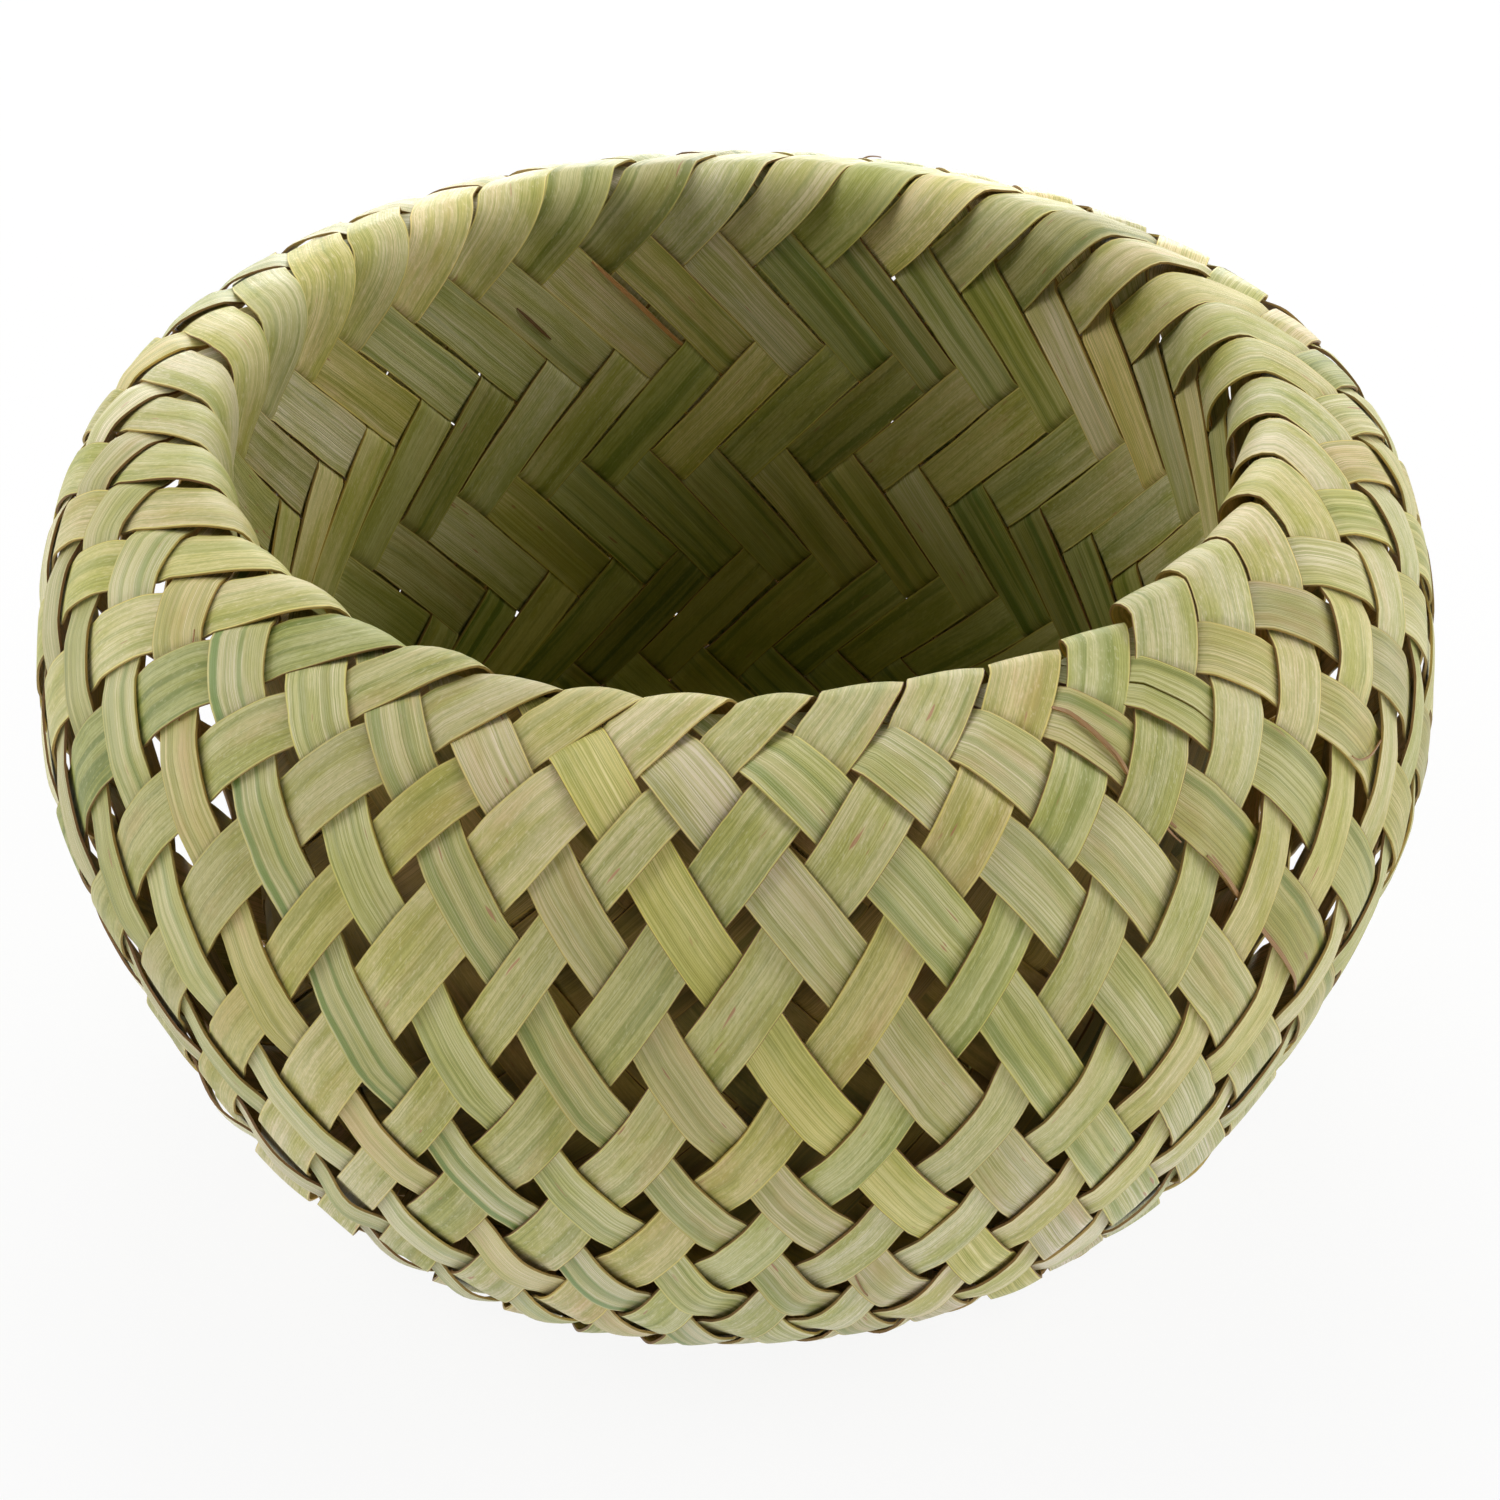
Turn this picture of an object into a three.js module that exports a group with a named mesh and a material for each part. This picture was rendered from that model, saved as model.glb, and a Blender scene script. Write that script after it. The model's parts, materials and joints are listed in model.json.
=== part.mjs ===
// Round double-walled storage basket, plaited on the bias from forty flat leaf strips.
// Every strip is one unbroken piece. It starts tucked under the foot, climbs the open
// outer wall, rolls over the rim, runs down the tight lining, crosses the square mat of
// the base, and makes the same trip in reverse on the next side of the basket.
// Units are millimetres, +Z is up, and the basket stands on z = 0 with its axis on Z.

import * as THREE from 'three';

// Outline of the basket, as radii and heights of its faces.
const bellyRadius = 110;
const bellyHeight = 73;
const basketHeight = 124.7;
const crestRadius = 82.5;
const liningFootRadius = 77;
const liningTopRadius = 78.6;
const liningTopHeight = 109;
const liningCornerRadius = 20;
const footRadius = 70.5;

// How full the curves of the outline are, as lengths of their tangent handles.
const shoulderFullness = 22;
const bellyFullnessAbove = 27;
const bellyFullnessBelow = 8;
const footFullness = 20;
const rimFullnessInside = 8;
const rimFullnessTop = 3;

// The strips and the weave.
const stripsPerSide = 10;
const stripWidth = 9.8;
const matPitch = 9.3;
const ribDepth = 0.5;
const crossingGap = 0.7;
const rimLift = 0.9;
const tightestFill = 0.88;
const openWallFill = 0.8;
const liningLeanDegrees = 49;
const wallLeanDegrees = 58;
const steepenFrom = 0.2;
const steepenUntil = 0.8;
const floatRows = 3;
const tuckRows = 1.4;
const restGap = 0.3;

// Rows over which the square mat of the base blends into the round wall, and the rows
// that curve most, where the strips get more bends than their floats ask for.
const squareUntilRow = 2;
const roundFromRow = 16;
const baseCornerRow = 10;
const baseCornerRows = 1.5;
const rimBends = [2 / 3, 4 / 3];
const foldedStrips = 6;

// Values that follow from the sizes above.
const stripsAround = 4 * stripsPerSide;
const halfStep = Math.PI / stripsAround;
const facing = halfStep;
const weaveRise = ribDepth + crossingGap;
const matHeight = 3 * weaveRise + 2 * ribDepth + restGap;
const matRow = matPitch / Math.SQRT2;
const liningLean = Math.tan(THREE.MathUtils.degToRad(liningLeanDegrees));
const wallLean = Math.tan(THREE.MathUtils.degToRad(wallLeanDegrees));

// Middle surface of the weave, in the half plane of radius and height: along the base,
// up the lining, over the rim, down the belly and in under the foot.
function middleOutline() {
  const belly = bellyRadius - weaveRise;
  const crest = basketHeight - weaveRise - rimLift;
  const corner = liningCornerRadius;
  const cornerRadius = liningFootRadius - corner;
  const point = (radius, height) => new THREE.Vector2(radius, height);
  return {
    base: new THREE.LineCurve(point(0, matHeight), point(cornerRadius, matHeight)),
    corner: new THREE.EllipseCurve(
      cornerRadius, matHeight + corner, corner, corner, -Math.PI / 2, 0, false),
    lining: new THREE.LineCurve(
      point(liningFootRadius, matHeight + corner), point(liningTopRadius, liningTopHeight)),
    rim: new THREE.CubicBezierCurve(
      point(liningTopRadius, liningTopHeight),
      point(liningTopRadius, liningTopHeight + rimFullnessInside),
      point(crestRadius - rimFullnessTop, crest),
      point(crestRadius, crest)),
    shoulder: new THREE.CubicBezierCurve(
      point(crestRadius, crest),
      point(crestRadius + shoulderFullness, crest),
      point(belly, bellyHeight + bellyFullnessAbove),
      point(belly, bellyHeight)),
    flank: new THREE.CubicBezierCurve(
      point(belly, bellyHeight),
      point(belly, bellyHeight - bellyFullnessBelow),
      point(footRadius + footFullness, weaveRise),
      point(footRadius, weaveRise)),
    under: new THREE.LineCurve(point(footRadius, weaveRise), point(0, weaveRise)),
  };
}

// Evenly spaced samples along the middle surface, each with the row of crossings that it
// lies in. Rows are closest in the flat mat, where the strips lie edge to edge. On the
// walls they open as the radius grows, and the strips stand steeper down the outer wall.
const sampleStep = 0.1;

function leanAt(stretch, share) {
  const onShoulder = THREE.MathUtils.smoothstep(share, steepenFrom, steepenUntil);
  const steepness = { shoulder: onShoulder, flank: 1, under: 1 }[stretch] ?? 0;
  return THREE.MathUtils.lerp(liningLean, wallLean, steepness);
}

function sampleOutline() {
  const samples = [];
  let distance = 0;
  let row = 0;
  for (const [stretch, curve] of Object.entries(middleOutline())) {
    const length = curve.getLength();
    const count = Math.ceil(length / sampleStep);
    for (let i = 0; i < count; i += 1) {
      const { x: radius, y: height } = curve.getPointAt(i / count);
      const tangent = curve.getTangentAt(i / count);
      samples.push({ stretch, distance, row, radius, height, tangent });
      distance += length / count;
      row += length / count / Math.max(matRow, radius * halfStep * leanAt(stretch, i / count));
    }
  }
  return samples;
}

const samples = sampleOutline();

function sampleAt(key, value) {
  let low = 0;
  let high = samples.length - 1;
  while (high - low > 1) {
    const middle = (low + high) >> 1;
    if (samples[middle][key] <= value) {
      low = middle;
    } else {
      high = middle;
    }
  }
  const share = (value - samples[low][key]) / (samples[high][key] - samples[low][key]);
  return { low: samples[low], high: samples[high], share };
}

// Rows at which the weave changes.
const liningEnd = samples.find((sample) => sample.stretch === 'rim').row;
const bandTop = Math.round(liningEnd - 0.5) + 0.5;
const rimEnd = bandTop + floatRows;
const footRow = samples.find((sample) => sample.stretch === 'under').row;

// A strip that leans one way as it climbs is called a leader, and one that leans the other
// way a follower. Leaders lie on the face in rows where this is true.
function leaderOnFace(row) {
  if (row > rimEnd) {
    const outerRow = Math.round(row - rimEnd - 0.5);
    return outerRow % 2 === 1 && row < tailRow;
  }
  const band = Math.floor((bandTop - row) / floatRows) + 1;
  return row > bandTop || band % 2 === 0;
}

// The first row under the foot in which the followers lie lowest. They stay lowest to
// their ends, and so give the basket its flat places to stand on.
const firstTail = Math.ceil(footRow - rimEnd - 0.5);
const tailRow = rimEnd + 0.5 + firstTail + (firstTail % 2);
const lastRow = tailRow + tuckRows;

// Point of the basket at a row and at an angle round the wall, off the middle surface.
// Angles are given as they run high on the wall. Lower down the rows turn square.
function basketPoint(row, wallAngle, rise) {
  const quarter = Math.PI / 2;
  const side = Math.round(wallAngle / quarter);
  const across = (wallAngle - side * quarter) / (quarter / 2);
  const square = 1 - THREE.MathUtils.smoothstep(row, squareUntilRow, roundFromRow);
  const round = THREE.MathUtils.smoothstep(row, squareUntilRow, stripsPerSide);
  const cornered = Math.hypot(1, across) - 1;
  const softened = (Math.SQRT2 - 1) * (1 - Math.cos(Math.PI * across)) / 2;
  const stretch = 1 + square * THREE.MathUtils.lerp(cornered, softened, round);
  const angle = wallAngle + square * (Math.atan(across) - across * quarter / 2);
  const straight = sampleAt('row', row);
  const distance = THREE.MathUtils.lerp(straight.low.distance, straight.high.distance, straight.share);
  const place = sampleAt('distance', distance * stretch);
  const radius = THREE.MathUtils.lerp(place.low.radius, place.high.radius, place.share);
  const height = THREE.MathUtils.lerp(place.low.height, place.high.height, place.share);
  const tangent = place.low.tangent;
  const out = radius - tangent.y * rise;
  return new THREE.Vector3(out * Math.cos(angle), out * Math.sin(angle), height + tangent.x * rise);
}

// Point on a strip's own lattice line. The strips of a side are numbered from its corner
// by the line they keep to, and along is counted in crossings from the middle of the strip.
function latticePoint(line, along, rise) {
  const row = line + Math.abs(along);
  const swing = line - Math.abs(along);
  const half = Math.PI / 4;
  const inMat = Math.round(line - 0.5) + 0.5 + Math.abs(along) < stripsPerSide;
  const angle = half * swing / (inMat ? row : stripsPerSide);
  return basketPoint(row, along < 0 ? angle : Math.PI / 2 - angle, rise);
}

// Half of the strip's width, in lattice steps, where it lies. The outer wall is never as
// tight as the lining.
function halfFill(line, along) {
  const step = 0.25;
  const lengthwise = latticePoint(line, along + step, 0).sub(latticePoint(line, along - step, 0));
  const crosswise = latticePoint(line + step, along, 0).sub(latticePoint(line - step, along, 0));
  const pitch = lengthwise.clone().cross(crosswise).length() / lengthwise.length() / (2 * step);
  const tightest = line + Math.abs(along) > rimEnd ? openWallFill : tightestFill;
  return Math.min(stripWidth / pitch, tightest) / 2;
}

// How far a strip stands off the middle surface at a crossing. Over the rim the leaders
// are loose loops and lift a little more.
function riseAt(row, leader) {
  const face = leaderOnFace(row) === leader ? 1 : -1;
  const loose = leader && row > bandTop && row < rimEnd ? rimLift : 0;
  return face * weaveRise + loose;
}

// Rows in which a strip needs a bend on one half of its length: the first and the last
// crossing of each float, and a few more where the rim and the base corner curve.
function bendRows(firstRow, leader) {
  const rows = [];
  const last = Math.floor(lastRow);
  for (let row = firstRow; row <= last; row += 1) {
    const before = row === firstRow || riseAt(row - 1, leader) !== riseAt(row, leader);
    const after = row < last && riseAt(row + 1, leader) !== riseAt(row, leader);
    const curved = Math.abs(row - baseCornerRow) < baseCornerRows;
    if (before || after || curved) {
      rows.push(row);
    }
    if (row === bandTop + 0.5) {
      rows.push(...rimBends.map((bend) => row + bend));
    }
  }
  rows.push(lastRow);
  return rows;
}

// Stations along a strip, from its leading end to its following end. The strips that lie
// nearest the corners of the base also bend where their two halves meet.
function stripStations(number) {
  const line = number + 0.5;
  const stations = [];
  for (const leader of [true, false]) {
    const half = bendRows(number + 1, leader).map((row) => ({
      along: (leader ? -1 : 1) * (row - line),
      rise: riseAt(Math.min(row, Math.floor(lastRow)), leader),
    }));
    stations.push(...(leader ? half.reverse() : half));
    if (leader && number >= stripsPerSide - foldedStrips) {
      stations.push({ along: 0, rise: 0 });
    }
  }
  return stations.map(({ along, rise }) => {
    const half = halfFill(line, along);
    const inner = latticePoint(line - half, along, rise);
    const outer = latticePoint(line + half, along, rise);
    const below = latticePoint(line, along, rise - 1);
    const face = latticePoint(line, along, rise).sub(below);
    const rib = inner.clone().add(outer).multiplyScalar(0.5).addScaledVector(face, -ribDepth);
    return [inner, outer, rib];
  });
}

// One strip as a closed solid: a flat face, and a back that rises to the leaf's rib along
// the middle and thins to nothing at both edges. A strip twists as it climbs, so its sides
// are warped between two stations. Face and back are folded there the same way, along the
// diagonals that leave the strip its full thickness.
function stripGeometry(stations) {
  const corners = stations.flat();
  const index = [0, 2, 1];
  for (let i = 0; i + 1 < stations.length; i += 1) {
    const inner = 3 * i;
    const outer = inner + 1;
    const rib = inner + 2;
    const [toOuter, toNext, toFar] = [outer, inner + 3, outer + 3]
      .map((corner) => corners[corner].clone().sub(corners[inner]));
    const rising = toOuter.cross(toNext).dot(toFar) > 0;
    for (const [a, b, fromFirst] of [[inner, outer, rising], [outer, rib, !rising], [rib, inner, !rising]]) {
      if (fromFirst) {
        index.push(a, b, b + 3, a, b + 3, a + 3);
      } else {
        index.push(a, b, a + 3, b, b + 3, a + 3);
      }
    }
  }
  const end = 3 * (stations.length - 1);
  index.push(end, end + 1, end + 2);
  const geometry = new THREE.BufferGeometry().setFromPoints(corners);
  geometry.setIndex(index);
  geometry.computeVertexNormals();
  return geometry;
}

// Leaf tones, from pale straw to deep green, dealt out so that neighbours differ.
const leafTones = [
  { name: 'sage_leaf', color: 0xb2b882 },
  { name: 'straw_leaf', color: 0xc3c08f },
  { name: 'olive_leaf', color: 0xa3ab6c },
  { name: 'yellow_leaf', color: 0xbcb67c },
  { name: 'deep_leaf', color: 0x9aa463 },
];
const toneSkip = 3;
const leafRoughness = 0.62;

function leafMaterial(serial) {
  const tone = leafTones[(serial * toneSkip) % leafTones.length];
  return new THREE.MeshStandardMaterial({
    name: tone.name,
    color: tone.color,
    roughness: leafRoughness,
    metalness: 0,
    flatShading: true,
  });
}

const sides = ['east', 'north', 'west', 'south'];
const basket = new THREE.Group();
for (let number = 0; number < stripsPerSide; number += 1) {
  const geometry = stripGeometry(stripStations(number));
  sides.forEach((side, quarter) => {
    const serial = quarter * stripsPerSide + number;
    const strip = new THREE.Mesh(geometry, leafMaterial(serial));
    strip.name = `${side}_strip_${String(number + 1).padStart(2, '0')}`;
    strip.rotation.z = facing + quarter * Math.PI / 2;
    basket.add(strip);
  });
}

export default basket;
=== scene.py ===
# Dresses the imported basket: forty plaited leaf strips, each rebuilt as one thin curved
# strip along the same path as its CAD solid, with leaf veins, streaks and cut edges.
# Sizes in this file are millimetres until they reach a mesh, which is in metres.

import json
import math
from collections import namedtuple

import bpy
import numpy as np
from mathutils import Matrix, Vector


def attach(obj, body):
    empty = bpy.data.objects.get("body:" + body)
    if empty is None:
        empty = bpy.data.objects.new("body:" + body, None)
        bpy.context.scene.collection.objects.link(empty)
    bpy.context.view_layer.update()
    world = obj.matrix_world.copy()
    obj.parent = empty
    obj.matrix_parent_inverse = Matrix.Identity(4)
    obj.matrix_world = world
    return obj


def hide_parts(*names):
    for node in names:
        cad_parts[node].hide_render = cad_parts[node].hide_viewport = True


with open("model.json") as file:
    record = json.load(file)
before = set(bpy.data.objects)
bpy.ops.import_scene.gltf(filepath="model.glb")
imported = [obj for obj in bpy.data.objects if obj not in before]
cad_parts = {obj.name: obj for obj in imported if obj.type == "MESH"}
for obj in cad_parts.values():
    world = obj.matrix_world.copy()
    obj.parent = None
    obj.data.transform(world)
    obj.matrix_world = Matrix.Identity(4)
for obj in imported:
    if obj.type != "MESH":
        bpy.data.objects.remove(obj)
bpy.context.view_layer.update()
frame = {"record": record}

METRES = 0.001
QUARTER_TURN = math.pi / 2
FULL_TURN = 2 * math.pi

# Outline of the basket.
BELLY_RADIUS = 110.0
BELLY_HEIGHT = 73.0
BASKET_HEIGHT = 124.7
CREST_RADIUS = 82.5
LINING_FOOT_RADIUS = 77.0
LINING_TOP_RADIUS = 78.6
LINING_TOP_HEIGHT = 109.0
LINING_CORNER_RADIUS = 20.0
FOOT_RADIUS = 70.5
SHOULDER_FULLNESS = 22.0
BELLY_FULLNESS_ABOVE = 27.0
BELLY_FULLNESS_BELOW = 8.0
FOOT_FULLNESS = 20.0
RIM_FULLNESS_INSIDE = 8.0
RIM_FULLNESS_TOP = 3.0
OUTLINE_STEP = 0.1

# The leaf. Rise is how far a strip lies off the middle of the weave where it crosses another.
THICKNESS = 0.38
RISE = 0.5
OUTLINE_INSET = 1.2
RIM_LIFT = 0.9
LOWEST = THICKNESS / 2 + 0.02

# The weave.
SIDES = ["east", "north", "west", "south"]
STRIPS_PER_SIDE = 10
STRIPS_AROUND = 4 * STRIPS_PER_SIDE
STRIP_WIDTH = 9.8
MAT_PITCH = 9.3
MAT_HEIGHT = 4.9
HALF_STEP = math.pi / STRIPS_AROUND
FACING = HALF_STEP
LINING_LEAN = math.tan(math.radians(49))
WALL_LEAN = math.tan(math.radians(58))
STEEPENS_FROM, STEEPENS_TO = 0.2, 0.8
FLOAT_ROWS = 3
TUCK_ROWS = 1.4
MAT_EDGE_SOFTNESS = 0.6
MAT_SQUARE_ROW, MAT_ROUND_ROW = 2, 16

# The look and the width of every half strip, from strip 1 to strip 10 of each side. The
# leading half leans to the right as it climbs the outer wall, the following half to the left.
# Each look is partly the leaf's own tone and partly painted light and shade, paler or darker where a
# strip lies in more or less light.
LEADING_LOOKS = {
    "east": "dull dull khaki pale olive olive tan green pale pale",
    "north": "pale pale pale silver pale sage khaki olive dark sage",
    "west": "bright green sage silver dark green pale bright bright bright",
    "south": "sage pale pale pale sage khaki sage sage green olive",
}
FOLLOWING_LOOKS = {
    "east": "striped tan sage sage dusty silver khaki green sage olive",
    "north": "green dull olive pale sage dusty yellow dull olive sage",
    "west": "bright sage khaki green sage khaki sage sage tan khaki",
    "south": "khaki khaki pale green dark green green pale straw pale",
}
LEADING_WIDTHS = {
    "east": [1.04, 0.86, 1.18, 0.80, 1.03, 1.03, 0.97, 0.92, 0.99, 0.97],
    "north": [0.95, 1.00, 0.92, 1.02, 0.97, 1.04, 1.00, 0.94, 1.03, 0.98],
    "west": [1.06, 0.95, 1.02, 1.00, 1.06, 0.97, 1.00, 1.02, 0.94, 0.98],
    "south": [1.02, 0.96, 1.03, 0.93, 1.04, 0.98, 1.00, 1.06, 1.10, 0.96],
}
FOLLOWING_WIDTHS = {
    "east": [1.02, 0.97, 1.03, 0.95, 1.00, 1.03, 0.92, 1.02, 0.98, 0.96],
    "north": [1.03, 0.98, 1.10, 1.03, 1.04, 1.08, 0.95, 0.94, 0.90, 0.95],
    "west": [0.97, 1.03, 0.98, 1.02, 1.00, 0.95, 1.03, 1.00, 0.98, 1.00],
    "south": [1.05, 0.95, 1.00, 1.02, 1.06, 0.98, 1.04, 0.97, 0.94, 1.02],
}


def smoothstep(value, low, high):
    share = np.clip((value - low) / (high - low), 0.0, 1.0)
    return share * share * (3 - 2 * share)


def mix(low, high, share):
    return low + (high - low) * share


def straight(start, end, count=400):
    share = np.linspace(0, 1, count)[:, None]
    return mix(np.array(start), np.array(end), share)


def curved(start, first, second, end, count=1200):
    t = np.linspace(0, 1, count)[:, None]
    start, first, second, end = map(np.array, (start, first, second, end))
    return ((1 - t) ** 3 * start + 3 * (1 - t) ** 2 * t * first
            + 3 * (1 - t) * t ** 2 * second + t ** 3 * end)


def middle_outline():
    """Radius and height of the weave's middle surface, from the middle of the base, up the
    lining, over the rim and down the outer wall to the middle of the foot."""
    belly = BELLY_RADIUS - OUTLINE_INSET
    crest = BASKET_HEIGHT - OUTLINE_INSET - RIM_LIFT
    corner = LINING_CORNER_RADIUS
    corner_radius = LINING_FOOT_RADIUS - corner
    turn = np.linspace(-QUARTER_TURN, 0, 400)
    return {
        "base": straight((0, MAT_HEIGHT), (corner_radius, MAT_HEIGHT)),
        "corner": np.stack([corner_radius + corner * np.cos(turn),
                            MAT_HEIGHT + corner + corner * np.sin(turn)], axis=1),
        "lining": straight((LINING_FOOT_RADIUS, MAT_HEIGHT + corner),
                           (LINING_TOP_RADIUS, LINING_TOP_HEIGHT)),
        "rim": curved((LINING_TOP_RADIUS, LINING_TOP_HEIGHT),
                      (LINING_TOP_RADIUS, LINING_TOP_HEIGHT + RIM_FULLNESS_INSIDE),
                      (CREST_RADIUS - RIM_FULLNESS_TOP, crest),
                      (CREST_RADIUS, crest)),
        "shoulder": curved((CREST_RADIUS, crest),
                           (CREST_RADIUS + SHOULDER_FULLNESS, crest),
                           (belly, BELLY_HEIGHT + BELLY_FULLNESS_ABOVE),
                           (belly, BELLY_HEIGHT)),
        "flank": curved((belly, BELLY_HEIGHT),
                        (belly, BELLY_HEIGHT - BELLY_FULLNESS_BELOW),
                        (FOOT_RADIUS + FOOT_FULLNESS, OUTLINE_INSET),
                        (FOOT_RADIUS, OUTLINE_INSET)),
        "under": straight((FOOT_RADIUS, OUTLINE_INSET), (0, OUTLINE_INSET)),
    }


def sample_outline():
    """The outline in short steps, with the row of crossings that each step lies in."""
    mat_row = MAT_PITCH / math.sqrt(2)
    columns = {"distance": [], "row": [], "radius": [], "height": [], "out": [], "up": []}
    starts = {}
    distance = row = 0.0
    for stretch, points in middle_outline().items():
        starts[stretch] = row
        travelled = np.concatenate([[0], np.cumsum(np.hypot(*np.diff(points, axis=0).T))])
        length = travelled[-1]
        count = math.ceil(length / OUTLINE_STEP)
        share = np.arange(count) / count
        radius = np.interp(share * length, travelled, points[:, 0])
        height = np.interp(share * length, travelled, points[:, 1])
        heading = np.stack([np.gradient(points[:, 0], travelled),
                            np.gradient(points[:, 1], travelled)])
        out = np.interp(share * length, travelled, heading[0])
        up = np.interp(share * length, travelled, heading[1])
        steepening = smoothstep(share, STEEPENS_FROM, STEEPENS_TO)
        steepness = {"shoulder": steepening, "flank": 1, "under": 1}.get(stretch, 0)
        lean = mix(LINING_LEAN, WALL_LEAN, steepness) * np.ones(count)
        pace = length / count / np.maximum(mat_row, radius * HALF_STEP * lean)
        columns["distance"].append(distance + share * length)
        columns["row"].append(row + np.cumsum(pace) - pace)
        columns["radius"].append(radius)
        columns["height"].append(height)
        columns["out"].append(out)
        columns["up"].append(up)
        distance += length
        row += pace.sum()
    return {key: np.concatenate(parts) for key, parts in columns.items()}, starts


# Rows of crossings, counted along the outline from the middle of the base.
OUTLINE, ROW_STARTS = sample_outline()
BAND_TOP = math.floor(ROW_STARTS["rim"]) + 0.5
RIM_END = BAND_TOP + FLOAT_ROWS
FIRST_TAIL = math.ceil(ROW_STARTS["under"] - RIM_END - 0.5)
TAIL_ROW = RIM_END + 0.5 + FIRST_TAIL + FIRST_TAIL % 2
LAST_ROW = TAIL_ROW + TUCK_ROWS
FOOT_ROW = TAIL_ROW - 5

# How far the strips have crept round the wall from an even spacing, in degrees, where the
# wall faces each of these directions.
CREEP_FACING = [-180, -150, -130, -110, -90, -70, -50, -20, 20, 60, 100, 140, 180]
CREEP = [1.0, 2.2, 3.0, 2.4, 0.8, 0.0, -1.6, -2.4, -2.4, -2.2, -2.4, -1.6, 1.0]
CREEP_FROM_ROW, CREEP_FULL_ROW = 12, 22


def creep(angle, row):
    facing = (np.degrees(angle) + 180) % 360 - 180
    amount = np.radians(np.interp(facing, CREEP_FACING, CREEP))
    return amount * smoothstep(row, CREEP_FROM_ROW, CREEP_FULL_ROW)


def basket_point(row, wall_angle, rise, quarter):
    """Point of the basket at a row and an angle round the wall, rise off its middle surface.
    The rows of the base are squares, which turn round before they climb the lining."""
    side = np.round(wall_angle / QUARTER_TURN)
    across = (wall_angle - side * QUARTER_TURN) / (QUARTER_TURN / 2)
    square = 1 - smoothstep(row, MAT_SQUARE_ROW, MAT_ROUND_ROW)
    roundness = smoothstep(row, MAT_SQUARE_ROW, STRIPS_PER_SIDE)
    cornered = np.hypot(1, across) - 1
    softened = (math.sqrt(2) - 1) * (1 - np.cos(math.pi * across)) / 2
    stretch = 1 + square * mix(cornered, softened, roundness)
    angle = wall_angle + square * (np.arctan(across) - across * QUARTER_TURN / 2)
    distance = np.interp(row, OUTLINE["row"], OUTLINE["distance"]) * stretch
    radius, height, out, up = (np.interp(distance, OUTLINE["distance"], OUTLINE[key])
                               for key in ("radius", "height", "out", "up"))
    angle = angle + FACING + quarter * QUARTER_TURN
    angle = angle + creep(angle, row)
    reach = radius - up * rise
    level = np.maximum(height + out * rise, LOWEST)
    return np.stack([reach * np.cos(angle), reach * np.sin(angle), level], axis=-1)


def lattice_point(line, along, rise, quarter):
    row = line + np.abs(along)
    swing = line - np.abs(along)
    squared = (row + STRIPS_PER_SIDE - np.hypot(row - STRIPS_PER_SIDE, MAT_EDGE_SOFTNESS)) / 2
    angle = QUARTER_TURN / 2 * swing / squared
    return basket_point(row, np.where(along < 0, angle, QUARTER_TURN - angle), rise, quarter)


def leader_on_face(row):
    """True in rows where the strips that lean one way lie on the face of the weave."""
    if row > RIM_END:
        return round(row - RIM_END - 0.5) % 2 == 1 and row < TAIL_ROW
    return row > BAND_TOP or (math.floor((BAND_TOP - row) / FLOAT_ROWS) + 1) % 2 == 0


# Where every strip runs. Along is counted in crossings from the middle of the strip, and is
# negative on its leading half. Sidestep and sway are in lattice steps, and a wave has a height
# and a pace.
ALONG = np.linspace(-LAST_ROW, LAST_ROW, 1697)
SIDESTEP = 0.05
SWAY_WAVES = ((0.03, 0.45), (0.02, 0.9))
SWAY_INSIDE = 0.45
WIDTH_WAVE, WIDTH_PACE = 0.02, 0.7
WALL_SHRINK = 0.91

# How much of the room between its neighbours a strip may fill.
FILL_WALL, FILL_FOOT = 0.9, 0.96
SLACK_INSIDE = 0.03
SLACK_PACES = (2.1, 0.77)
FILL_SOFTNESS = 0.05


def waves(stations, phases, heights_and_paces):
    """Slow waves along a strip, one on top of the other."""
    return sum(height * np.sin(stations * pace + phase)
               for (height, pace), phase in zip(heights_and_paces, phases))


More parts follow.
